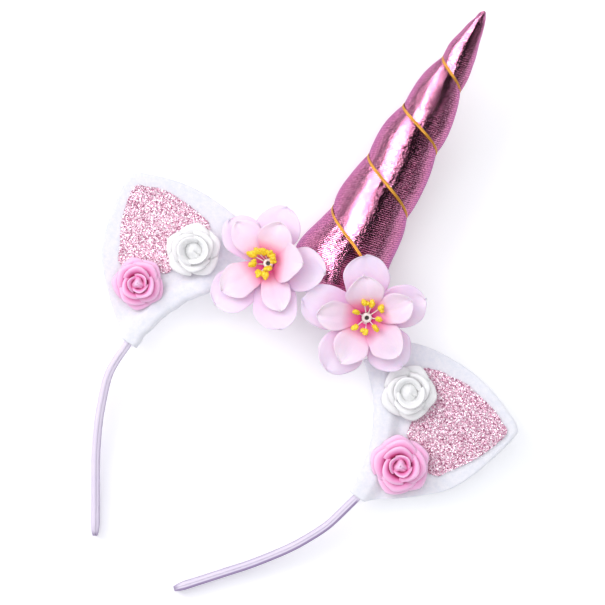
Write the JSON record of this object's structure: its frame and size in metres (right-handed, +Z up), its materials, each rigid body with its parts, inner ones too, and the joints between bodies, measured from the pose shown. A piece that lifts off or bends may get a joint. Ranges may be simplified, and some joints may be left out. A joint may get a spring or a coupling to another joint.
{
  "type": "unicorn horn headband",
  "caption": "Ribbon-covered headband with felt ears, glitter panels, foam roses, cloth flowers and a stuffed horn wound with gold thread.",
  "frame": {"origin": "bottom centre of the bounding box, with the headband lying on its back", "axes": "+Z up out of the front, +Y towards the horn's tip, +X to the viewer's right"},
  "size_m": [0.2156, 0.304, 0.0513],
  "materials": {
    "ribbon_band": "satin ribbon over a plastic band",
    "felt": "white felt",
    "glitter_cloth": "pink glitter",
    "white_foam": "foam",
    "pink_foam": "foam",
    "outer_petal_cloth": "thin cloth",
    "inner_petal_cloth": "thin cloth",
    "stamen_plastic": "matte",
    "lame": "metallic knit",
    "gold_thread": "metallic wrapped thread"
  },
  "bodies": {
    "root": {"band": "ribbon_band", "ear_left": "felt", "ear_right": "felt", "glitter_left": "glitter_cloth", "glitter_right": "glitter_cloth", "rose_white_left": "white_foam", "rose_pink_left": "pink_foam", "rose_white_right": "white_foam", "rose_pink_right": "pink_foam", "flower_left_outer_petals": "outer_petal_cloth", "flower_left_inner_petals": "inner_petal_cloth", "flower_left_stamens": "stamen_plastic", "flower_right_outer_petals": "outer_petal_cloth", "flower_right_inner_petals": "inner_petal_cloth", "flower_right_stamens": "stamen_plastic", "horn": "lame", "horn_cord": "gold_thread"}
  },
  "joints": []
}
